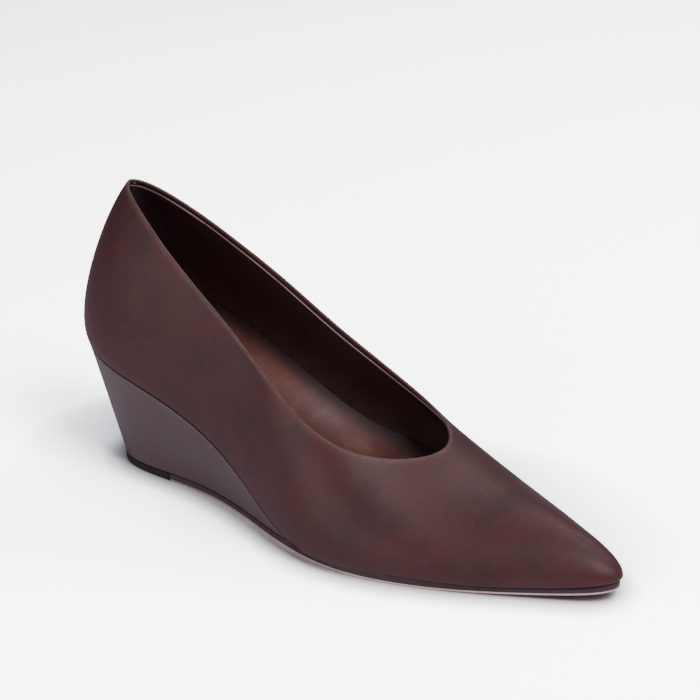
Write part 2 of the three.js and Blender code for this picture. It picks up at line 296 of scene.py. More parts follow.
        def facing(half: Array) -> Array:
            """Outward directions on one half of the last.

            Args:
                half: The half's sign at each place.

            Returns:
                One direction for each place.
            """
            along = self.surface(half, angle + step, low) - self.surface(half, angle - step, low)
            up = self.surface(half, angle, low + step) - self.surface(half, angle, low - step)
            return unit(np.cross(up, along) * half[..., None])

        own = facing(sign)
        on_spine = (share > ON_SPINE)[..., None]
        return np.where(on_spine, unit(own + facing(-sign)), own)

    def over_topline(self, points: Array, drop: float) -> Array:
        """How far points stand above the topline.

        Args:
            points: Points with X, Y and Z along the last axis.
            drop: How far the topline is lowered.

        Returns:
            One height for each point.
        """
        x = points[..., 0]
        line = self.back_height * self.topline(angle_at(x / self.length)) - drop
        return points[..., 2] - self.feather_height(x) - line

    def throat(self, drop: float) -> float:
        """Angle at which the topline crosses the spine.

        Args:
            drop: How far the topline is lowered.

        Returns:
            The angle.
        """
        low, high = THROAT_SPAN
        for _ in range(THROAT_HALVINGS):
            mid = (low + high) / 2
            above = self.over_topline(self.spine(np.array(mid)), drop) > 0
            low, high = (mid, high) if above else (low, mid)
        return (low + high) / 2

    def topline_share(self, sign: Array, angle: Array, drop: float) -> Array:
        """Share of each rib at which it meets the topline.

        Args:
            sign: 1 for the left side and -1 for the right, one for each rib.
            angle: Angle of each rib.
            drop: How far the topline is lowered.

        Returns:
            One share for each rib.
        """
        steps = np.linspace(0, 1, TOPLINE_TRIES)
        over = self.over_topline(self.surface(sign[:, None], angle[:, None], steps[None, :]), drop)
        over[:, -1] = np.maximum(over[:, -1], JUST_OVER)
        first = np.maximum(np.argmax(over > 0, axis=1), 1)
        low, high = steps[first - 1], steps[first]
        for _ in range(TOPLINE_HALVINGS):
            mid = (low + high) / 2
            above = self.over_topline(self.surface(sign, angle, mid), drop) > 0
            low, high = np.where(above, low, mid), np.where(above, mid, high)
        return (low + high) / 2


LAST = Last()


@dataclass
class Skin:
    """Points and faces of one closed mesh, gathered ring by ring in millimetres."""

    points: list[Array] = field(default_factory=list)
    faces: list[tuple[int, ...]] = field(default_factory=list)
    worn_and_painted_light: list[Array] = field(default_factory=list)
    look: list[int] = field(default_factory=list)
    count: int = 0
    slot: int = 0

    def ring(self, points: Array, wear_and_painted_light: Array | float = 0.0) -> Array:
        """Adds a row of points.

        Args:
            points: The points, one a row.
            wear_and_painted_light: How much each takes of the piece's second tone, from 0 to 1; that tone is
                wear on some pieces and painted light or shade on others.

        Returns:
            The points' numbers.
        """
        self.points.append(np.asarray(points, float))
        self.worn_and_painted_light.append(np.broadcast_to(wear_and_painted_light, (len(points),)).astype(float))
        self.count += len(points)
        return np.arange(self.count - len(points), self.count)

    def band(self, lower: Sequence[int], upper: Sequence[int], closed: bool = True) -> None:
        """Joins two rows by quads that face out where the rows run anticlockwise seen from above.

        Args:
            lower: Numbers of the lower row's points.
            upper: Numbers of the upper row's points.
            closed: Whether the last point joins the first.
        """
        total = len(lower)
        for i in range(total if closed else total - 1):
            k = (i + 1) % total
            self.faces.append((int(lower[i]), int(lower[k]), int(upper[k]), int(upper[i])))
            self.look.append(self.slot)

    def bands(self, rings: Sequence[Sequence[int]], closed: bool = True) -> None:
        """Joins each row to the next."""
        for lower, upper in zip(rings, rings[1:]):
            self.band(lower, upper, closed)

    def made(self, name: str, materials: Sequence[bpy.types.Material]) -> bpy.types.Object:
        """Makes the mesh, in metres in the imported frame.

        Args:
            name: The piece's name.
            materials: Its materials, in the order of the faces' slots.

        Returns:
            The new object.
        """
        shift = np.array([LAST.origin_x, 0, 0])
        mesh = bpy.data.meshes.new(name)
        mesh.from_pydata(((np.concatenate(self.points) - shift) * MM).tolist(), [], self.faces)
        wear_and_painted_light = mesh.attributes.new("wear_and_painted_light", "FLOAT", "POINT")
        wear_and_painted_light.data.foreach_set("value", np.concatenate(self.worn_and_painted_light).astype(np.float32))
        mesh.polygons.foreach_set("material_index", np.array(self.look, np.int32))
        work = bmesh.new()
        work.from_mesh(mesh)
        bmesh.ops.remove_doubles(work, verts=work.verts, dist=SAME_POINT)
        bmesh.ops.dissolve_degenerate(work, edges=work.edges, dist=NO_EDGE)
        for face in work.faces:
            face.smooth = True
        work.to_mesh(mesh)
        work.free()
        for material in materials:
            mesh.materials.append(material)
        piece = bpy.data.objects.new(name, mesh)
        bpy.context.scene.collection.objects.link(piece)
        return piece


class Tree:
    """A node tree under construction."""

    def __init__(self, tree: bpy.types.NodeTree) -> None:
        """Takes over a tree and empties it."""
        self.tree = tree
        tree.nodes.clear()

    def add(self, kind: str, inputs: dict | None = None, **settings: object) -> bpy.types.Node:
        """Adds a node.

        Args:
            kind: The node's type.
            inputs: A value or another node's output for each input that is set.
            **settings: The node's own settings.

        Returns:
            The new node.
        """
        node = self.tree.nodes.new(kind)
        for name, value in settings.items():
            setattr(node, name, value)
        for key, value in (inputs or {}).items():
            if isinstance(value, bpy.types.NodeSocket):
                self.tree.links.new(value, node.inputs[key])
            else:
                node.inputs[key].default_value = value
        return node

    def math(self, operation: str, *values: object) -> bpy.types.NodeSocket:
        """Result of a sum on up to three values or outputs."""
        return self.add("ShaderNodeMath", dict(enumerate(values)), operation=operation).outputs[0]

    def noise(self, where: object, scale: object, detail: float = 3.0) -> bpy.types.NodeSocket:
        """A noise's value at a place."""
        inputs = {"Vector": where, "Scale": scale, "Detail": detail}
        return self.add("ShaderNodeTexNoise", inputs).outputs["Fac"]

    def span(self, value: object, low: float, high: float) -> bpy.types.NodeSocket:
        """A value carried from the span low to high onto 0 to 1, smoothly."""
        inputs = {"Value": value, "From Min": low, "From Max": high}
        return self.add("ShaderNodeMapRange", inputs, interpolation_type="SMOOTHSTEP").outputs["Result"]

    def blend(self, share: object, first: object, second: object) -> bpy.types.NodeSocket:
        """A colour between two."""
        inputs = {"Factor": share, 6: first, 7: second}
        return self.add("ShaderNodeMix", inputs, data_type="RGBA").outputs[2]

    def between(self, share: object, first: object, second: object) -> bpy.types.NodeSocket:
        """A number between two."""
        return self.add("ShaderNodeMix", {0: share, 2: first, 3: second}).outputs[0]

    def link(self, value: bpy.types.NodeSocket, end: bpy.types.NodeSocket) -> None:
        """Carries an output to an input."""
        self.tree.links.new(value, end)


def new_group(name: str, inputs: dict[str, str], outputs: dict[str, str]) -> tuple[Tree, dict, dict]:
    """Starts a shader node group.

    Args:
        name: The group's name.
        inputs: Kind of each input socket by name.
        outputs: Kind of each output socket by name.

    Returns:
        Its tree, the group's inputs as outputs of its input node, and its output node's inputs.
    """
    group = bpy.data.node_groups.new(name, "ShaderNodeTree")
    for in_out, sockets in (("INPUT", inputs), ("OUTPUT", outputs)):
        for socket, kind in sockets.items():
            group.interface.new_socket(socket, in_out=in_out, socket_type="NodeSocket" + kind)
    tree = Tree(group)
    start = tree.add("NodeGroupInput")
    end = tree.add("NodeGroupOutput")
    return tree, {name: start.outputs[name] for name in inputs}, {name: end.inputs[name] for name in outputs}


@dataclass(frozen=True)
class DyeLayer:
    """One layer of uneven dye: how much finer than the broad patches it is, and how strongly it shows."""

    finer: float
    detail: float
    low: float
    high: float
    strength: float


class Effects:
    """The effects that several materials share."""

    PORE_DEPTH = 0.45
    WRINKLE_DETAIL = 4.0
    BROAD = DyeLayer(finer=1.0, detail=2.0, low=0.38, high=0.68, strength=1.0)
    FINER = DyeLayer(finer=3.7, detail=3.0, low=0.45, high=0.75, strength=0.75)
    SPECKS = DyeLayer(finer=22.0, detail=2.0, low=0.50, high=0.80, strength=0.35)

    def __init__(self) -> None:
        """Builds each group once."""
        self.grain = self.build_grain()
        self.patches = self.build_patches()

    def build_grain(self) -> bpy.types.NodeTree:
        """Leather's fine relief: pores, and the faint wrinkles between them."""
        floats = {"Vector": "Vector", "Pores": "Float", "Wrinkles": "Float"}
        tree, given, out = new_group("leather_grain", floats, {"Height": "Float"})
        pores = tree.add("ShaderNodeTexVoronoi", {"Vector": given["Vector"], "Scale": given["Pores"]})
        wrinkles = tree.noise(given["Vector"], given["Wrinkles"], self.WRINKLE_DETAIL)
        height = tree.math("MULTIPLY_ADD", pores.outputs["Distance"], self.PORE_DEPTH, wrinkles)
        tree.link(height, out["Height"])
        return tree.tree

    def build_patches(self) -> bpy.types.NodeTree:
        """Uneven dye: soft darker and greyer patches, and a second tone laid by the wear input, which is
        wear on some pieces and painted light or shade on others.
        """
        inputs = {
            "Vector": "Vector", "Size": "Float", "Tone": "Color", "Dark": "Color",
            "Grey": "Color", "WornAndPaintedLight": "Color", "WearAndPaintedLight": "Float", "Unevenness": "Float",
        }
        outputs = {"Color": "Color", "Dullness": "Float"}
        tree, given, out = new_group("uneven_dye_and_painted_light", inputs, outputs)

        def spread(layer: DyeLayer) -> tuple[bpy.types.NodeSocket, bpy.types.NodeSocket]:
            """Lays one layer of dye.

            Args:
                layer: Its measures.

            Returns:
                Its noise, and how much of its colour shows.
            """
            size = tree.math("MULTIPLY", given["Size"], layer.finer)
            noise = tree.noise(given["Vector"], size, layer.detail)
            return noise, tree.math("MULTIPLY", tree.span(noise, layer.low, layer.high), layer.strength)

        _, broad_shown = spread(self.BROAD)
        finer, finer_shown = spread(self.FINER)
        specks, specks_shown = spread(self.SPECKS)
        dark = tree.blend(broad_shown, given["Tone"], given["Dark"])
        grey = tree.blend(finer_shown, dark, given["Grey"])
        fine = tree.blend(specks_shown, grey, given["Dark"])
        centred = tree.math("SUBTRACT", finer, 0.5)
        uneven = tree.math("MULTIPLY_ADD", centred, given["Unevenness"], 1.0)
        wear_and_light_share = tree.math("MULTIPLY", given["WearAndPaintedLight"], uneven)
        half = tree.math("MULTIPLY", specks, 0.5)
        tree.link(tree.blend(wear_and_light_share, fine, given["WornAndPaintedLight"]), out["Color"])
        tree.link(tree.math("MULTIPLY_ADD", finer, 0.5, half), out["Dullness"])
        return tree.tree


@dataclass(frozen=True)
class LeatherFinish:
    """A dyed leather with grain, uneven dye and a second tone: worn edges on some pieces, painted light or
    shade on others.

    Patch, pore, wrinkle and relief are in metres. The roughness varies between `smooth` and `dull`.
    """

    name: str
    tone: Colour
    dark: Colour
    grey: Colour
    worn_and_painted_light: Colour
    patch: float = 0.022
    pore: float = 0.0007
    wrinkle: float = 0.0022
    relief: float = 0.00006
    smooth: float = 0.42
    dull: float = 0.55
    specular: float = 0.35
    unevenness: float = 1.2

    def material(self, effects: Effects) -> bpy.types.Material:
        """Makes the material.

        Args:
            effects: The shared node groups.

        Returns:
            The new material.
        """
        material = bpy.data.materials.new(self.name)
        material.use_nodes = True
        tree = Tree(material.node_tree)
        where = tree.add("ShaderNodeTexCoord").outputs["Object"]
        wear_and_painted_light = tree.add("ShaderNodeAttribute", attribute_name="wear_and_painted_light").outputs["Fac"]
        dye_and_light = tree.add("ShaderNodeGroup", node_tree=effects.patches)
        given = {
            "Size": 1 / self.patch, "Tone": self.tone, "Dark": self.dark, "Grey": self.grey,
            "WornAndPaintedLight": self.worn_and_painted_light, "Unevenness": self.unevenness,
        }
        for key, value in given.items():
            dye_and_light.inputs[key].default_value = value
        tree.link(where, dye_and_light.inputs["Vector"])
        tree.link(wear_and_painted_light, dye_and_light.inputs["WearAndPaintedLight"])
        grain = tree.add("ShaderNodeGroup", node_tree=effects.grain)
        grain.inputs["Pores"].default_value = 1 / self.pore
        grain.inputs["Wrinkles"].default_value = 1 / self.wrinkle
        tree.link(where, grain.inputs["Vector"])
        bump_inputs = {"Height": grain.outputs["Height"], "Distance": self.relief, "Strength": 1.0}
        bump = tree.add("ShaderNodeBump", bump_inputs)
        surface = {
            "Base Color": dye_and_light.outputs["Color"],
            "Roughness": tree.between(dye_and_light.outputs["Dullness"], self.smooth, self.dull),
            "Specular IOR Level": self.specular,
            "Normal": bump.outputs["Normal"],
        }
        shader = tree.add("ShaderNodeBsdfPrincipled", surface)
        tree.add("ShaderNodeOutputMaterial", {"Surface": shader.outputs["BSDF"]})
        return material


class Leathers(Enum):
    """The finishes on this shoe."""

    # The last colour here is rubbing, and at the top of the fold also a painted highlight.
    UPPER = LeatherFinish(
        "burgundy_upper_leather",
        tone=(0.080, 0.0200, 0.0205, 1), dark=(0.055, 0.0165, 0.0185, 1),
        grey=(0.068, 0.0240, 0.0260, 1), worn_and_painted_light=(0.170, 0.085, 0.080, 1),
        patch=0.020, smooth=0.47, dull=0.56, specular=0.40,
    )
    WEDGE = LeatherFinish(
        "burgundy_wedge_leather",
        tone=(0.066, 0.026, 0.029, 1), dark=(0.056, 0.021, 0.024, 1),
        grey=(0.068, 0.031, 0.035, 1), worn_and_painted_light=(0.120, 0.070, 0.070, 1),
        patch=0.03, smooth=0.36, dull=0.46, specular=0.9,
    )
    # The last colour here is a painted highlight along the cut edge and painted light low on the lining by
    # the sock.
    LINING = LeatherFinish(
        "glossy_lining_leather",
        tone=(0.038, 0.018, 0.018, 1), dark=(0.028, 0.013, 0.014, 1),
        grey=(0.036, 0.020, 0.021, 1), worn_and_painted_light=(0.450, 0.290, 0.280, 1),
        patch=0.03, pore=0.0005, relief=0.00003, smooth=0.30, dull=0.40, specular=0.55,
    )
    # The last colour here is painted shade, laid beside the left wall.
    SOCK = LeatherFinish(
        "sock_leather",
        tone=(0.200, 0.062, 0.050, 1), dark=(0.120, 0.036, 0.030, 1),
        grey=(0.180, 0.086, 0.078, 1), worn_and_painted_light=(0.050, 0.021, 0.020, 1),
        patch=0.03, pore=0.0006, relief=0.00004, smooth=0.40, dull=0.50, specular=0.60, unevenness=0.3,
    )
    EDGE = LeatherFinish(
        "painted_sole_edge",
        tone=(0.056, 0.025, 0.031, 1), dark=(0.042, 0.018, 0.023, 1),
        grey=(0.056, 0.028, 0.034, 1), worn_and_painted_light=(0.140, 0.080, 0.080, 1),
        patch=0.02, relief=0.00003, smooth=0.35, dull=0.50, specular=0.5,
    )
    # The last colour here is painted light from the floor on the bare bevel.
    SOLE = LeatherFinish(
        "sanded_sole_leather",
        tone=(0.300, 0.165, 0.125, 1), dark=(0.230, 0.120, 0.090, 1),
        grey=(0.290, 0.180, 0.150, 1), worn_and_painted_light=(0.850, 0.620, 0.590, 1),
        patch=0.03, pore=0.0004, relief=0.00004, smooth=0.50, dull=0.68,
    )
    TAP = LeatherFinish(
        "heel_tap_rubber",
        tone=(0.014, 0.010, 0.010, 1), dark=(0.010, 0.007, 0.007, 1),
        grey=(0.020, 0.016, 0.016, 1), worn_and_painted_light=(0.050, 0.040, 0.038, 1),
        patch=0.01, pore=0.0006, relief=0.00004, smooth=0.55, dull=0.75,
    )
    THREAD = LeatherFinish(
        "waxed_thread",
        tone=(0.300, 0.180, 0.170, 1), dark=(0.220, 0.120, 0.115, 1),
        grey=(0.280, 0.200, 0.200, 1), worn_and_painted_light=(0.300, 0.200, 0.200, 1),
        patch=0.002, pore=0.0002, relief=0.00002, smooth=0.40, dull=0.60,
    )


@dataclass(frozen=True)
class Crease:
    """A soft trough or ridge in the upper.

    Its middle is at a share of the length and a share of the rib, and it is turned from the length by some
    degrees. At its length and width it has died out to about a third. A trough's depth is below zero.
    """

    side: Side
    at: float
    up: float
    turn: float
    length: float
    width: float
    depth: float

    def push(self, points: Array) -> Array:
        """How far it moves points outwards.

        Args:
            points: Points of the last's skin.

        Returns:
            One length for each point, below zero in a trough.
        """
        sign = np.array(self.side.value)
        angle = angle_at(self.at)
        centre = LAST.surface(sign, angle, np.array(self.up))
        ahead = unit(LAST.surface(sign, angle + 0.01, np.array(self.up)) - centre)
        out = LAST.normal(sign, angle, np.array(self.up))
        over = unit(np.cross(ahead, out) * -self.side.value)
        turn = math.radians(self.turn)
        along = ahead * math.cos(turn) + over * math.sin(turn)
        across = over * math.cos(turn) - ahead * math.sin(turn)
        away = points - centre
        reach = (away @ along / self.length) ** 2 + (away @ across / self.width) ** 2
        return self.depth * np.exp(-reach - (away @ out / self.length) ** 2)


@dataclass
class Upper:
    """The upper's outer leather, folded over at the topline, and the lining inside it."""

    # Ribs from heel to toe, the rib at the throat, and rows up a rib after the first few lengths.
    columns: int = 236
    throat_column: int = 150
    rows: int = 50
    hidden_rows: int = 16
    low_rows: tuple[float, ...] = (0.0, 0.12, 0.3, 0.55, 0.9, 1.3, 2.0, 3.0)
    low_rows_inside: tuple[float, ...] = (0.0, 2.0)
    low_rows_lining: tuple[float, ...] = (0.0, 2.4)
    # The fold's radius, the steps round it, how much paler its top is from rubbing and a painted highlight,
    # and the groove behind it as depths and how far it sinks in.
    rim: float = 0.62
    rim_steps: int = 9
    rim_wear_and_highlight: float = 0.5
    rim_wear_and_highlight_least: float = 0.1
    groove: tuple[tuple[float, float], ...] = (
        (0.35, 0.0), (0.6, 0.1), (0.8, 0.28), (1.0, 0.3), (1.2, 0.1), (1.5, 0.0), (2.0, 0.0),
    )
    turned_in_thinner: float = 0.02
    leather: float = 1.1
    wall: float = 2.0
    turn_in: float = 2.7
    lining_outside: float = 1.3
    lining_depth: float = 2.1
    fold_reach: float = 15.0
    feather_round: float = 1.3
    margin: float = 9.0
    # Wear at the topline and over the feather edge, each with the length in which it dies out.
    topline_wear: float = 0.55
    topline_wear_reach: float = 0.9
    feather_wear: float = 0.12
    feather_wear_reach: float = 1.5
    # The heel grip inside the back, and the short step at its end.
    grip_end: float = 46.0
    grip_thickness: float = 0.25
    grip_step: float = 0.4
    # A painted highlight along the lining's edge from a length on, and painted light on the lining low down
    # near the lit sock.
    edge_steps: int = 7
    pale_from: float = 24.0
    pale_over: float = 14.0
    pale_loss: float = 0.8
    wear_and_light_share: float = 0.30
    lining_light_reach: float = 34.0
    # The part of a rib that the sock's edge can meet, and the places tried on it.
    sock_reach: float = 0.6
    sock_tries: int = 61
    # Creases die out before the topline over this length.
    uncreased: float = 2.0
    creases: tuple[Crease, ...] = (
        Crease(Side.RIGHT, 0.245, 0.60, 62.0, 10.0, 4.0, -0.35),
        Crease(Side.RIGHT, 0.285, 0.58, 62.0, 9.0, 4.5, 0.22),
        Crease(Side.RIGHT, 0.40, 0.42, 38.0, 26.0, 8.0, -0.65),
        Crease(Side.RIGHT, 0.47, 0.34, 34.0, 24.0, 8.0, 0.30),
        Crease(Side.RIGHT, 0.53, 0.50, 30.0, 20.0, 6.0, -0.25),
        Crease(Side.LEFT, 0.30, 0.50, 66.0, 14.0, 6.0, -0.28),
        Crease(Side.LEFT, 0.46, 0.42, 35.0, 22.0, 7.0, -0.30),
        Crease(Side.LEFT, 0.55, 0.48, 28.0, 18.0, 6.0, 0.20),
        Crease(Side.LEFT, 0.66, 0.80, 80.0, 14.0, 5.0, -0.14),
        Crease(Side.RIGHT, 0.67, 0.82, 80.0, 14.0, 5.0, -0.12),
    )

    def __post_init__(self) -> None:
        """Finds the ribs, the topline and the directions at the topline."""
        drop = self.rim
        throat = LAST.throat(drop)
        number = np.concatenate([np.arange(self.columns + 1), np.arange(self.columns - 1, 0, -1)])
        self.sign = np.where(np.arange(len(number)) <= self.columns, Side.RIGHT.value, Side.LEFT.value)
        share = number / self.throat_column
        ahead = (number - self.throat_column) / (self.columns - self.throat_column)
        front = throat + (math.pi - throat) * ahead
        behind = number < self.throat_column
        self.foot = np.where(behind, throat * share, front)
        self.top = np.where(behind, throat * np.sin(np.minimum(share, 1) * math.pi / 2), front)
        self.reach = np.ones(len(number))
        self.reach[behind] = LAST.topline_share(self.sign[behind], self.top[behind], drop)
        self.edge = np.nonzero(number <= self.throat_column)[0]
        self.topline = LAST.surface(self.sign, self.top, self.reach)[self.edge]
        self.out = LAST.normal(self.sign, self.top, self.reach)[self.edge]
        along = unit(np.roll(self.topline, -1, 0) - np.roll(self.topline, 1, 0))
        self.upward = unit(np.cross(self.out, along))

    def grid(self, starts: Sequence[float], rows: int) -> tuple[Array, Array, Array]:
        """Ribs split into rows: a few at given lengths above the feather edge, the rest evenly.

        Args:
            starts: Lengths up the rib of the first rows, from 0.
            rows: How many more rows there are up to the topline or spine.

        Returns:
            Sign, angle and share of each place, as rows by columns.
        """
        none = np.zeros(len(self.sign))
        start = LAST.surface(self.sign, self.foot, none)
        speed = np.linalg.norm(LAST.surface(self.sign, self.foot, none + SKIN_STEP) - start, axis=-1)
        first = np.array(starts)[:, None] * SKIN_STEP / speed[None, :]
        even = np.linspace(0, 1, rows + 1)[1:, None]
        share = np.concatenate([first, first[-1] + (self.reach - first[-1]) * even])
        angle = self.foot + (self.top - self.foot) * share / self.reach
        return np.broadcast_to(self.sign, share.shape), angle, share

    def from_topline(self, points: Array) -> tuple[Array, Array]:
        """Finds how near points are to the topline.

        Args:
            points: Points with X, Y and Z along the last axis.

        Returns:
            Each point's distance from the topline, and the number of the topline's nearest point.
        """
        flat = points.reshape(-1, 3)
        gap = np.empty(len(flat))
        near = np.empty(len(flat), int)
        for start in range(0, len(flat), POINTS_AT_ONCE):
            part = slice(start, start + POINTS_AT_ONCE)
            apart = np.linalg.norm(flat[part, None, :] - self.topline[None, :, :], axis=-1)
            near[part] = apart.argmin(1)
            gap[part] = apart.min(1)
        return gap.reshape(points.shape[:-1]), near.reshape(points.shape[:-1])

    def inside(self, sign: Array, angle: Array, share: Array, depth: Array | float, sink: float) -> Array:
        """Points a depth inside the skin, drawn down from the topline.

        Args:
            sign: Side of each place.
            angle: Its angle.
            share: Its share of the rib.
            depth: How far inside the skin it lies.
            sink: How far below the topline the surface's top edge ends.

        Returns:
            The points.
        """
        skin = LAST.surface(sign, angle, share)
        inner = skin - LAST.normal(sign, angle, share) * np.broadcast_to(depth, share.shape)[..., None]
        gap, near = self.from_topline(skin)
        return inner - self.upward[near] * (sink * fade(gap, self.fold_reach))[..., None]

    def build_leather(self, material: bpy.types.Material) -> bpy.types.Object:
        """Makes the outer leather.

        Args:
            material: Its finish.

        Returns:
            The finished piece.
        """
        skin = Skin()
        starts = self.low_rows
        sign, angle, share = self.grid(starts, self.rows)
        points = LAST.surface(sign, angle, share)
        gap, _ = self.from_topline(points)
        push = sum(crease.push(points) for crease in self.creases)
        push = push * (1 - fade(gap, self.uncreased))
        points = points + LAST.normal(sign, angle, share) * push[..., None]
        lift = self.feather_round - np.minimum(np.array(starts), self.feather_round)
        tuck = self.feather_round - np.sqrt(self.feather_round**2 - lift**2)
        flat = LAST.normal(self.sign, self.foot, np.zeros(len(self.sign)))
        flat[:, 2] = 0
        points[: len(starts)] -= unit(flat)[None] * tuck[:, None, None]
        low = points[..., 2] - LAST.feather_height(points[..., 0])
        at_topline = self.topline_wear * np.exp(-gap / self.topline_wear_reach)
        at_feather = self.feather_wear * np.exp(-low / self.feather_wear_reach)
        wear_and_painted_light = np.clip(at_topline + at_feather, 0, 1)
        outside = [skin.ring(row, worn_and_painted_light) for row, worn_and_painted_light in zip(points, wear_and_painted_light)]

        sign, angle, share = self.grid(self.low_rows_inside, self.hidden_rows)
        hidden = self.inside(sign, angle, share, self.leather, self.turn_in)
        hidden[0] = LAST.feather(self.sign, self.foot, self.wall, self.leather)
        inside = [skin.ring(row) for row in hidden]
        under = skin.ring(LAST.feather(self.sign, self.foot, self.margin))
        over = skin.ring(LAST.feather(self.sign, self.foot, self.margin, self.leather))
        skin.bands([inside[0], over, under, *outside])
        skin.bands(inside[::-1])

        rings = [outside[-1][self.edge]]
        for turn in np.linspace(0, math.pi, self.rim_steps + 1)[1:]:
            arc = self.out * math.cos(turn) + self.upward * math.sin(turn)
            # rubbing and a painted highlight, palest at the top of the fold
            worn_and_painted_light = self.rim_wear_and_highlight * math.sin(turn) + self.rim_wear_and_highlight_least
            rings.append(skin.ring(self.topline - self.rim * self.out + self.rim * arc, worn_and_painted_light))
        for depth, thinner in (*self.groove, (self.turn_in, self.turned_in_thinner)):
            thick = 2 * self.rim - thinner
            rings.append(skin.ring(self.topline - thick * self.out - depth * self.upward))
        rings.append(inside[-1][self.edge])
        skin.bands(rings)
        return skin.made("upper_leather", [material])

    def build_lining(self, material: bpy.types.Material) -> bpy.types.Object:
        """Makes the lining, with its own edge just below the fold and the heel grip's seam.

        Args:
            material: Its finish.

        Returns:
            The finished piece.
        """
        skin = Skin()
        sign, angle, share = self.grid(self.low_rows_lining, self.hidden_rows)
        hidden = self.inside(sign, angle, share, self.lining_outside, self.lining_depth)
        hidden[0] = hidden[1]
        hidden[0][:, 2] = LAST.feather_height(hidden[0][:, 0]) + self.wall
        outer = [skin.ring(row) for row in hidden]
        sign, angle, share = self.grid(self.low_rows_lining, self.rows)
        x = LAST.surface(sign, angle, share)[..., 0]
        grip = self.grip_thickness * (1 - np.clip((x - self.grip_end) / self.grip_step, 0, 1))
        seen = self.inside(sign, angle, share, self.wall + grip, self.lining_depth)
        seen[0] = seen[1]
        seen[0][:, 2] = LAST.feather_height(seen[0][:, 0]) + self.wall
        over = seen[..., 2] - LAST.feather_height(seen[..., 0])
        # painted light: the lining is paler low down, carrying on the light that falls on the sock
        wear_and_painted_light = self.wear_and_light_share * fade(over - self.wall, self.lining_light_reach)
        inner = [skin.ring(row, worn_and_painted_light) for row, worn_and_painted_light in zip(seen, wear_and_painted_light)]
        skin.bands([inner[0], outer[0]])
        skin.bands(outer)
        skin.bands(inner[::-1])
        first, last = hidden[-1][self.edge], seen[-1][self.edge]
        middle, half = (first + last) / 2, (first - last) / 2
        thick = np.linalg.norm(half, axis=-1, keepdims=True)
        # painted highlight: the cut edge is pale along its top, and more so past pale_from
        pale = 1 - self.pale_loss * fade(middle[:, 0] - self.pale_from, self.pale_over)
        rings = [outer[-1][self.edge]]
        for turn in np.linspace(0, math.pi, self.edge_steps + 1)[1:-1]:
            edge = middle + half * math.cos(turn) + self.upward * thick * math.sin(turn)
            rings.append(skin.ring(edge, pale * math.sin(turn)))
        rings.append(inner[-1][self.edge])
        skin.bands(rings)
        return skin.made("lining", [material])

    def wall_at(self, sign: float, angle: Array, height: Array) -> Array:
        """Points of the lining's inner face at a height over the feather edge.

        Args:
            sign: 1 for the left side and -1 for the right.
            angle: Angles from heel to toe.
            height: Height for each angle.

        Returns:
            One point for each angle.
        """
        share = np.linspace(0.0, self.sock_reach, self.sock_tries)
        side = np.full((len(angle), 1), sign)
        skin = LAST.surface(side, angle[:, None], share[None, :])
        face = skin - LAST.normal(side, angle[:, None], share[None, :]) * (self.wall + self.grip_thickness)
        over = face[..., 2] - LAST.feather_height(face[..., 0])
        points = np.empty((len(angle), 3))
        for i in range(len(angle)):
            rising = np.maximum.accumulate(over[i]) + share * STEADY_RISE
            points[i] = [np.interp(height[i], rising, face[i, :, axis]) for axis in range(3)]
        return points


@dataclass
class Sock:
    """The insole board with its leather sock, dished a little and turned up at the wall."""

    stations: int = 170
    across: int = 44
    height: float = 5.2
    # How far it turns up at the wall, at the heel and at the toe, where that changes, and how suddenly.
    turn_up: float = 10.0
    turn_up_toe: float = 0.8
    turned_to: float = 120.0
    turned_over: float = 70.0
    turn_power: float = 3.2
    dish: float = 0.5
    inset: float = 2.6
    under: float = 2.3
    # The part of its half width, beside the left wall, that is darkened with painted shade from the wall.
    painted_shade_width: float = 0.20

    def build(self, upper: Upper, material: bpy.types.Material) -> bpy.types.Object:
        """Makes the sock.

        Args:
            upper: The upper that it lies in.
            material: Its finish.

        Returns:
            The finished piece.
        """
        skin = Skin()
        angle = np.linspace(0, math.pi, self.stations + 1)
        x = LAST.length / 2 * (1 - np.cos(angle))
        back = fade(x - self.turned_to, self.turned_over)
        turn_up = self.turn_up_toe + (self.turn_up - self.turn_up_toe) * back
        edge_height = self.height + turn_up
        right = upper.wall_at(Side.RIGHT.value, angle, edge_height)
        left = upper.wall_at(Side.LEFT.value, angle, edge_height)
        for ends in (0, -1):
            middle = (left[ends] + right[ends]) / 2
            left[ends], right[ends] = middle, middle
        place = np.sin(np.linspace(-math.pi / 2, math.pi / 2, self.across + 1))
        lines = []
        for v in place:
            line = right * (1 - v) / 2 + left * (1 + v) / 2
            floor = LAST.feather_height(line[:, 0]) + self.height
            line[:, 2] = floor + turn_up * abs(v) ** self.turn_power - self.dish * (1 - v * v)
            # painted shade: the sock darkens towards the left wall, where the wall's shadow falls
            lines.append(skin.ring(line, fade(1 - v, self.painted_shade_width)))
        skin.bands(lines, closed=False)
        low = [
            skin.ring(LAST.feather(np.full(len(angle), side.value), angle, self.inset, self.under))
            for side in (Side.RIGHT, Side.LEFT)
        ]
        skin.band(low[0], lines[0], closed=False)
        skin.band(lines[-1], low[1], closed=False)
        skin.band(low[1], low[0], closed=False)
        return skin.made("sock", [material])


@dataclass(frozen=True)
class EdgeLine:
    """One line round a sole's edge.

    Its height is from the underside or, if so marked, from the top, and its slot is the finish of the band
    that ends at it.
    """

    height: float
    inset: float
    wear_and_painted_light: float = 0.0
    slot: int = 0
    from_top: bool = False


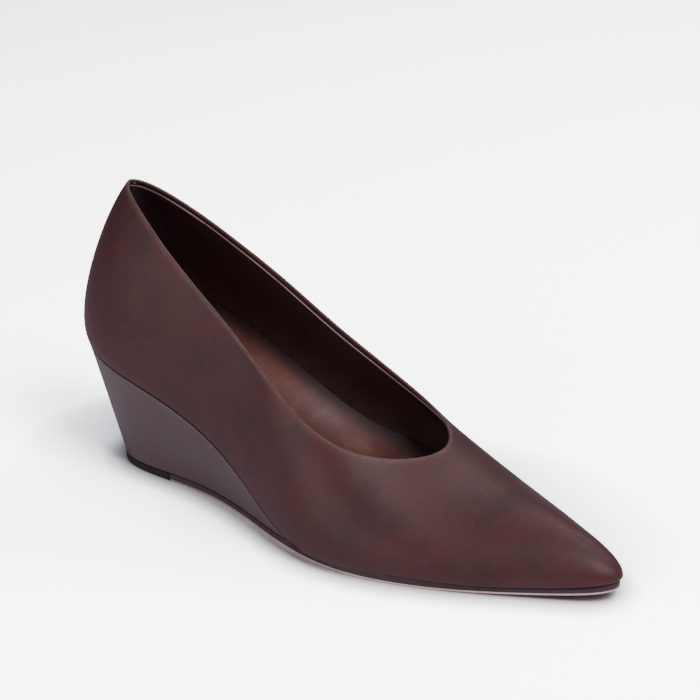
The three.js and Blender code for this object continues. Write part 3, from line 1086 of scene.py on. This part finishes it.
@dataclass
class Bottom:
    """The covered wedge, the sole and the heel tap under the upper."""

    stations: int = 120
    # The wedge ends at this thickness, found at one of so many places.
    wedge_end: float = 0.8
    wedge_end_tries: int = 20000
    # The wedge's wall, its rounded top and foot, and how much of a low wall each of them may take.
    least_wall: float = 0.05
    wall_rows: int = 33
    edge_round: float = 0.9
    edge_share: float = 0.35
    edge_steps: int = 6
    foot_round: float = 0.35
    foot_share: float = 0.2
    foot_steps: int = 4
    foot_wear: float = 0.15
    edge_wear: float = 0.3
    edge_wear_reach: float = 1.2
    # The sole's bevel, its joint to the heel tap, and the length over which the bevel's painted light from
    # the floor grows.
    bevel: float = 0.8
    joint: float = 0.3
    pale_over: float = 80.0
    pale_loss: float = 0.8
    tap_edge: tuple[EdgeLine, ...] = (
        EdgeLine(0.0, 0.35, 0.2), EdgeLine(0.1, 0.1, 0.4), EdgeLine(0.35, 0.0, 0.4), EdgeLine(1.6, 0.0),
        EdgeLine(2.9, 0.0, 0.1), EdgeLine(3.1, 0.08, 0.2), EdgeLine(3.2, 0.3, 0.1),
    )

    def __post_init__(self) -> None:
        """Finds where the wedge runs out."""
        low = LAST.sole + LAST.clearance
        angle = np.linspace(math.pi / 4, math.pi, self.wedge_end_tries)
        drop = LAST.pitch(angle_at(LAST.feather(np.array(1), angle)[:, 0] / LAST.length))
        left = (LAST.heel_height - low) * drop - self.wedge_end - LAST.clearance
        self.front = float(angle[np.argmax(left <= 0)])
        self.front_x = float(LAST.length / 2 * (1 - math.cos(self.front)))

    @staticmethod
    def around(angle: Array) -> tuple[Array, Array]:
        """Signs and angles of one turn: up the right side to the front and back along the left."""
        sign = np.concatenate([np.full(len(angle), -1.0), np.full(len(angle), 1.0)])
        return sign, np.concatenate([angle, angle[::-1]])

    @staticmethod
    def inward(points: Array) -> Array:
        """Level directions into a closed outline that runs anticlockwise seen from above.

        Args:
            points: The outline's points.

        Returns:
            One direction for each point.
        """
        along = np.roll(points, -1, 0) - np.roll(points, 1, 0)
        along[:, 2] = 0
        return unit(np.stack([-along[:, 1], along[:, 0], np.zeros(len(along))], -1))

    def closed(self, skin: Skin, rings: list[Array], half: int) -> None:
        """Closes a stack of outlines, with lids ruled from side to side.

        Args:
            skin: The skin that holds them.
            rings: The outlines from the underside up.
            half: How many points one side of an outline has.
        """
        skin.bands(rings)
        under, over = rings[0], rings[-1]
        skin.band(over[:half], over[half:][::-1], closed=False)
        skin.band(under[half:][::-1], under[:half], closed=False)

    def build_wedge(self, material: bpy.types.Material) -> bpy.types.Object:
        """Makes the leather-covered wedge.

        Args:
            material: Its finish.

        Returns:
            The finished piece.
        """
        skin = Skin()
        angle = np.linspace(0, self.front, self.stations + 1)
        share = LAST.ground_angle(self.front_x) / self.front
        sign, turn = self.around(angle)
        top = LAST.feather(sign, turn, 0.0, -LAST.clearance)
        foot = LAST.ground(sign, turn * share, LAST.sole + LAST.clearance)
        tall = np.maximum(top[:, 2] - foot[:, 2], self.least_wall)
        into = self.inward(LAST.feather(sign, turn))
        corner = np.minimum(self.edge_round, tall * self.edge_share)
        small = np.minimum(self.foot_round, tall * self.foot_share)

        def wall(share: Array) -> Array:
            """Points of the wall at a share of its height."""
            return foot + (top - foot) * share[:, None]

        rings = []
        for quarter in np.linspace(0, math.pi / 2, self.foot_steps + 1):
            lift = small * (1 - math.cos(quarter))
            inset = small * (1 - math.sin(quarter))
            rings.append(skin.ring(wall(lift / tall) + into * inset[:, None], self.foot_wear))
        for step in np.linspace(0, 1, self.wall_rows + 1)[1:-1]:
            rise = small + (tall - small - corner) * step
            near = np.exp(-(tall - rise) / self.edge_wear_reach) * self.edge_wear
            rings.append(skin.ring(wall(rise / tall), near))
        for quarter in np.linspace(0, math.pi / 2, self.edge_steps + 1):
            drop = corner * (1 - math.sin(quarter))
            inset = corner * (1 - math.cos(quarter))
            rings.append(skin.ring(wall(1 - drop / tall) + into * inset[:, None], self.edge_wear))
        self.closed(skin, rings, len(angle))
        return skin.made("wedge_cover", [material])

    def outline(
        self, skin: Skin, angle: Array, edge: Sequence[EdgeLine], top: Array, pale: Array | float = 1.0
    ) -> None:
        """Lays a sole's edge round its outline and closes it.

        Args:
            skin: The skin to fill.
            angle: Angles of the outline's stations.
            edge: The edge's lines from the underside up.
            top: Thickness at each station.
            pale: How much of each line's wear and painted light a station has.
        """
        sign, turn = self.around(angle)
        pale = np.broadcast_to(pale, angle.shape)
        pale = np.concatenate([pale, pale[::-1]])
        thick = np.concatenate([top, top[::-1]])
        base = LAST.ground(sign, turn, 0.0)
        into = self.inward(base)
        rings = []
        for line in edge:
            points = base + into * line.inset
            points[:, 2] += thick + line.height if line.from_top else line.height
            ring = skin.ring(points, line.wear_and_painted_light * pale)
            if rings:
                skin.slot = line.slot
                skin.band(rings[-1], ring)
            rings.append(ring)
        half = len(angle)
        skin.slot = edge[-1].slot
        skin.band(rings[-1][:half], rings[-1][half:][::-1], closed=False)
        skin.slot = edge[0].slot
        skin.band(rings[0][half:][::-1], rings[0][:half], closed=False)

    def build_sole(self, edge: bpy.types.Material, leather: bpy.types.Material) -> bpy.types.Object:
        """Makes the sole, with its painted edge and bare bevel.

        Args:
            edge: Finish of the edge and the top.
            leather: Finish of the bevel and the underside.

        Returns:
            The finished piece.
        """
        skin = Skin()
        back = LAST.heel_rake + LAST.tap_length + self.joint
        step = self.front_x + self.joint
        ramp = self.wedge_end + LAST.clearance
        angle = np.concatenate([
            np.linspace(LAST.ground_angle(back), LAST.ground_angle(step), self.stations // 2),
            np.linspace(LAST.ground_angle(step + ramp), math.pi, self.stations),
        ])
        x = LAST.ground(np.array(1.0), angle, 0.0)[:, 0]
        free = LAST.feather_height(x) - LAST.clearance - LAST.spring(x)
        top = LAST.sole + (free - LAST.sole) * np.clip((x - step) / ramp, 0, 1)
        b = self.bevel
        painted, bare = 0, 1
        # The bare bevel's high values lay painted light from the floor, fading towards the heel tap.
        lines = (
            EdgeLine(0.0, b + 0.35, 0.0, bare),
            EdgeLine(0.0, 0.6 * b, 0.3, bare),
            EdgeLine(0.1 * b, 0.28 * b, 0.8, bare),
            EdgeLine(0.4 * b, 0.05 * b, 1.0, bare),
            EdgeLine(1.15 * b, 0.0, 1.0, bare),
            EdgeLine(1.3 * b, 0.05, 0.1, painted),
            EdgeLine(1.7 * b, 0.0, 0.0, painted),
            EdgeLine(-0.35, 0.0, 0.0, painted, from_top=True),
            EdgeLine(-0.12, 0.1, 0.1, painted, from_top=True),
            EdgeLine(0.0, 0.35, 0.0, painted, from_top=True),
        )
        self.outline(skin, angle, lines, top, 1 - self.pale_loss * fade(x - back, self.pale_over))
        return skin.made("sole", [edge, leather])

    def build_tap(self, rubber: bpy.types.Material) -> bpy.types.Object:
        """Makes the heel tap.

        Args:
            rubber: Its finish.

        Returns:
            The finished piece.
        """
        skin = Skin()
        angle = np.linspace(0, LAST.ground_angle(LAST.heel_rake + LAST.tap_length), self.stations // 2)
        self.outline(skin, angle, self.tap_edge, np.full(len(angle), LAST.sole))
        return skin.made("heel_tap", [rubber])


@dataclass
class BackStitches:
    """The few stitches that hold the folded topline at the back."""

    # Metres between stitches, and each one's length and the thread's radius.
    count: int = 3
    pitch: float = 0.0022
    length: float = 0.0016
    thickness: float = 0.00026
    # How far below the topline they lie and how far inside its fold's face, in millimetres, and the ribs
    # on either side of the back that carry their line.
    depth: float = 1.0
    sunk: float = 0.12
    ribs: int = 6
    # How deep a stitch's ends go and how high its middle stands, in thread radii.
    ends_down: float = -0.9
    middle_up: float = 1.6
    along_steps: int = 10
    round_steps: int = 8

    def tree(self, thread: bpy.types.Material) -> bpy.types.NodeTree:
        """Builds the node tree that sets stitches along a line.

        Args:
            thread: Finish of the thread.

        Returns:
            The geometry node tree, with the stitches' sizes as inputs.
        """
        group = bpy.data.node_groups.new("stitches_along_line", "GeometryNodeTree")
        face = group.interface
        face.new_socket("Line", in_out="INPUT", socket_type="NodeSocketGeometry")
        face.new_socket("Count", in_out="INPUT", socket_type="NodeSocketInt")
        face.new_socket("Length", in_out="INPUT", socket_type="NodeSocketFloat")
        face.new_socket("Thickness", in_out="INPUT", socket_type="NodeSocketFloat")
        face.new_socket("Stitches", in_out="OUTPUT", socket_type="NodeSocketGeometry")
        tree = Tree(group)
        given = tree.add("NodeGroupInput").outputs
        line = tree.add("GeometryNodeMeshToCurve", {"Mesh": given["Line"]})
        spaced = tree.add("GeometryNodeResampleCurve", {"Curve": line.outputs[0], "Count": given["Count"]})
        tangent = tree.add("GeometryNodeInputTangent").outputs[0]
        facing = tree.add("GeometryNodeInputNamedAttribute", {"Name": "facing"}, data_type="FLOAT_VECTOR")
        along = tree.add("FunctionNodeAlignRotationToVector", {"Vector": tangent}, axis="X")
        inputs = {"Rotation": along.outputs[0], "Vector": facing.outputs[0]}
        turned = tree.add("FunctionNodeAlignRotationToVector", inputs, axis="Z", pivot_axis="X")
        half = tree.math("MULTIPLY", given["Length"], 0.5)
        sunk = tree.math("MULTIPLY", given["Thickness"], self.ends_down)
        high = tree.math("MULTIPLY", given["Thickness"], self.middle_up)
        start = tree.add("ShaderNodeCombineXYZ", {0: tree.math("MULTIPLY", half, -1.0), 2: sunk})
        middle = tree.add("ShaderNodeCombineXYZ", {2: high})
        end = tree.add("ShaderNodeCombineXYZ", {0: half, 2: sunk})
        bow_inputs = {
            "Resolution": self.along_steps, "Start": start.outputs[0], "Middle": middle.outputs[0],
            "End": end.outputs[0],
        }
        bow = tree.add("GeometryNodeCurveQuadraticBezier", bow_inputs)
        round_inputs = {"Resolution": self.round_steps, "Radius": given["Thickness"]}
        profile = tree.add("GeometryNodeCurvePrimitiveCircle", round_inputs)
        thread_inputs = {"Curve": bow.outputs[0], "Profile Curve": profile.outputs[0], "Fill Caps": True}
        stitch = tree.add("GeometryNodeCurveToMesh", thread_inputs)
        put = {"Points": spaced.outputs[0], "Instance": stitch.outputs[0], "Rotation": turned.outputs[0]}
        placed = tree.add("GeometryNodeInstanceOnPoints", put)
        real = tree.add("GeometryNodeRealizeInstances", {"Geometry": placed.outputs[0]})
        dressed = tree.add("GeometryNodeSetMaterial", {"Geometry": real.outputs[0], "Material": thread})
        tree.add("NodeGroupOutput", {0: dressed.outputs[0]})
        return group

    def build(self, upper: Upper, thread: bpy.types.Material) -> bpy.types.Object:
        """Makes the stitches at the back of the fold.

        Args:
            upper: The upper that they are sewn into.
            thread: Finish of the thread.

        Returns:
            The finished piece.
        """
        ribs = np.arange(-self.ribs, self.ribs + 1)
        thick = 2 * upper.rim - self.sunk
        line = (upper.topline - thick * upper.out - self.depth * upper.upward)[ribs]
        run = np.concatenate([[0], np.cumsum(np.linalg.norm(np.diff(line, axis=0), axis=1))])
        wanted = run[self.ribs] + (np.arange(self.count) - (self.count - 1) / 2) * self.pitch / MM
        points = np.stack([np.interp(wanted, run, line[:, axis]) for axis in range(3)], -1)
        facing = np.repeat(-upper.out[:1], self.count, 0)
        mesh = bpy.data.meshes.new("stitch_line")
        shift = np.array([LAST.origin_x, 0, 0])
        mesh.from_pydata(((points - shift) * MM).tolist(), [(i, i + 1) for i in range(self.count - 1)], [])
        attribute = mesh.attributes.new("facing", "FLOAT_VECTOR", "POINT")
        attribute.data.foreach_set("vector", facing.ravel().astype(np.float32))
        line_object = bpy.data.objects.new("stitch_line", mesh)
        bpy.context.scene.collection.objects.link(line_object)
        modifier = line_object.modifiers.new("stitches", "NODES")
        modifier.node_group = self.tree(thread)
        sizes = {"Count": self.count, "Length": self.length, "Thickness": self.thickness}
        for item in modifier.node_group.interface.items_tree:
            if item.in_out == "INPUT" and item.name in sizes:
                modifier[item.identifier] = sizes[item.name]
        graph = bpy.context.evaluated_depsgraph_get()
        made = bpy.data.meshes.new_from_object(line_object.evaluated_get(graph))
        bpy.data.objects.remove(line_object)
        piece = bpy.data.objects.new("back_stitches", made)
        bpy.context.scene.collection.objects.link(piece)
        return piece


@dataclass(frozen=True)
class Lamp:
    """A soft rectangular light, hung so many metres from the shoe's middle and turned towards it."""

    name: str
    place: tuple[float, float, float]
    size: tuple[float, float]
    power: float
    colour: tuple[float, float, float]

    def build(self, centre: Vector) -> None:
        """Hangs the light.

        Args:
            centre: The shoe's middle.
        """
        data = bpy.data.lights.new(self.name, "AREA")
        data.shape = "RECTANGLE"
        data.size, data.size_y = self.size
        data.energy = self.power
        data.color = self.colour
        light = bpy.data.objects.new(self.name, data)
        light.location = centre + Vector(self.place)
        light.rotation_euler = (-Vector(self.place)).to_track_quat("-Z", "Y").to_euler()
        bpy.context.scene.collection.objects.link(light)


@dataclass
class Studio:
    """The pale floor, the soft lights and the camera."""

    target: tuple[float, float, float] = (0.0960, 0.0, 0.0689)
    azimuth: float = 37.26
    elevation: float = 22.52
    roll: float = -0.893
    distance: float = 0.7001
    lens: float = 94.15
    film: float = 36.0
    # The floor's tone, as it lights the shoe, and the much lighter one that the camera sees of it.
    floor_size: float = 8.0
    floor_tone: Colour = (0.92, 0.87, 0.98, 1)
    floor_rough: float = 0.30
    floor_specular: float = 0.35
    floor_seen: Colour = (8.0, 8.0, 8.0, 1)
    floor_gloss: Colour = (0.3, 0.3, 0.3, 1)
    gloss_rough: float = 0.12
    # Two soft shades on the floor: one close to the shoe, and one where the shoe hides what is towards
    # `shade_from`.
    shade_rays: int = 8
    contact_tone: Colour = (0.30, 0.26, 0.28, 1)
    contact_reach: float = 0.012
    contact_depth: float = 2.7
    shade_from: tuple[float, float, float] = (0.72, -0.68, 0.15)
    shade_tone: Colour = (0.8, 0.85, 1.1, 1)
    shade_reach: float = 0.050
    shade_depth: float = 4.5
    surround: Colour = (0.70, 0.80, 1.0, 1)
    surround_strength: float = 0.11
    lamps: tuple[Lamp, ...] = (
        Lamp("key", (0.95, -0.18, 1.15), (0.7, 0.7), 17.0, (1.0, 0.99, 0.98)),
        Lamp("back", (0.10, 1.10, 1.00), (1.0, 0.5), 4.5, (1.0, 0.99, 0.98)),
        Lamp("top", (-0.15, 0.75, 1.30), (1.0, 0.8), 3.0, (1.0, 0.99, 0.98)),
        Lamp("front", (-0.40, -1.30, 0.50), (1.2, 0.7), 7.5, (1.0, 0.99, 0.98)),
    )

    def build_floor(self) -> None:
        """Lays a pale, slightly glossy floor, which the camera sees lighter than it lights the shoe."""
        half = self.floor_size / 2
        mesh = bpy.data.meshes.new("floor")
        corners = [(-half, -half, 0), (half, -half, 0), (half, half, 0), (-half, half, 0)]
        mesh.from_pydata(corners, [], [(0, 1, 2, 3)])
        material = bpy.data.materials.new("pale_floor")
        material.use_nodes = True
        tree = Tree(material.node_tree)
        surface = {
            "Base Color": self.floor_tone, "Roughness": self.floor_rough,
            "Specular IOR Level": self.floor_specular,
        }
        lit = tree.add("ShaderNodeBsdfPrincipled", surface)
        close = {"Distance": self.contact_reach}
        near = tree.add("ShaderNodeAmbientOcclusion", close, samples=self.shade_rays)
        clear = tree.math("POWER", near.outputs["AO"], self.contact_depth)
        towards = tree.add("ShaderNodeCombineXYZ", dict(enumerate(unit(np.array(self.shade_from)).tolist())))
        shade = {"Distance": self.shade_reach, "Normal": towards.outputs[0]}
        behind = tree.add("ShaderNodeAmbientOcclusion", shade, samples=self.shade_rays)
        open_sky = tree.math("POWER", behind.outputs["AO"], self.shade_depth)
        floor = tree.blend(open_sky, self.shade_tone, self.floor_seen)
        seen = tree.add("ShaderNodeBsdfDiffuse", {"Color": tree.blend(clear, self.contact_tone, floor)})
        shine = {"Color": self.floor_gloss, "Roughness": self.gloss_rough}
        gloss = tree.add("ShaderNodeBsdfAnisotropic", shine)
        both = tree.add("ShaderNodeAddShader", {0: seen.outputs[0], 1: gloss.outputs[0]})
        straight = tree.add("ShaderNodeLightPath").outputs["Is Camera Ray"]
        shader = tree.add("ShaderNodeMixShader", {0: straight, 1: lit.outputs[0], 2: both.outputs[0]})
        tree.add("ShaderNodeOutputMaterial", {"Surface": shader.outputs[0]})
        mesh.materials.append(material)
        floor = bpy.data.objects.new("floor", mesh)
        bpy.context.scene.collection.objects.link(floor)

    def build_camera(self) -> None:
        """Sets the camera at the photograph's angle."""
        a, e, r = (math.radians(v) for v in (self.azimuth, self.elevation, self.roll))
        back = Vector((math.sin(a) * math.cos(e), -math.cos(a) * math.cos(e), math.sin(e)))
        right = (-back).cross(Vector((0, 0, 1))).normalized()
        up = right.cross(-back)
        turned = math.cos(r) * right + math.sin(r) * up
        top = -math.sin(r) * right + math.cos(r) * up
        data = bpy.data.cameras.new("camera")
        data.lens = self.lens
        data.sensor_width = self.film
        camera = bpy.data.objects.new("camera", data)
        place = Vector(self.target) + back * self.distance
        axes = Matrix((turned, top, back)).transposed().to_4x4()
        camera.matrix_world = Matrix.Translation(place) @ axes
        bpy.context.scene.collection.objects.link(camera)
        bpy.context.scene.camera = camera

    def build_lights(self) -> None:
        """Lights the shoe softly, in a dim surround."""
        world = bpy.data.worlds.new("dim_surround")
        world.use_nodes = True
        background = world.node_tree.nodes["Background"]
        background.inputs["Color"].default_value = self.surround
        background.inputs["Strength"].default_value = self.surround_strength
        bpy.context.scene.world = world
        for lamp in self.lamps:
            lamp.build(Vector(self.target))


def ride(piece: bpy.types.Object, slot: str, *nodes: str) -> None:
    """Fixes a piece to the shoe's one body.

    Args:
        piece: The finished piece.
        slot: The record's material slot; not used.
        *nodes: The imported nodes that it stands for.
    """
    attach(piece, "root")
    if nodes:
        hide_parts(*nodes)
    log.info("%s: %d faces", piece.name, len(piece.data.polygons))


def main() -> None:
    """Builds the shoe's pieces in a maker's order, then the studio."""
    logging.basicConfig(level=logging.INFO, format="%(message)s")
    effects = Effects()
    finish = {kind: kind.value.material(effects) for kind in Leathers}

    upper = Upper()
    ride(upper.build_leather(finish[Leathers.UPPER]), "upper", "upper")
    ride(upper.build_lining(finish[Leathers.LINING]), "upper")
    ride(Sock().build(upper, finish[Leathers.SOCK]), "insole", "insole")

    bottom = Bottom()
    ride(bottom.build_wedge(finish[Leathers.WEDGE]), "wedge", "wedge")
    ride(bottom.build_sole(finish[Leathers.EDGE], finish[Leathers.SOLE]), "outsole", "outsole")
    ride(bottom.build_tap(finish[Leathers.TAP]), "toplift", "toplift")
    ride(BackStitches().build(upper, finish[Leathers.THREAD]), "upper")

    studio = Studio()
    studio.build_floor()
    studio.build_camera()
    studio.build_lights()


if __name__ == "__main__":
    main()
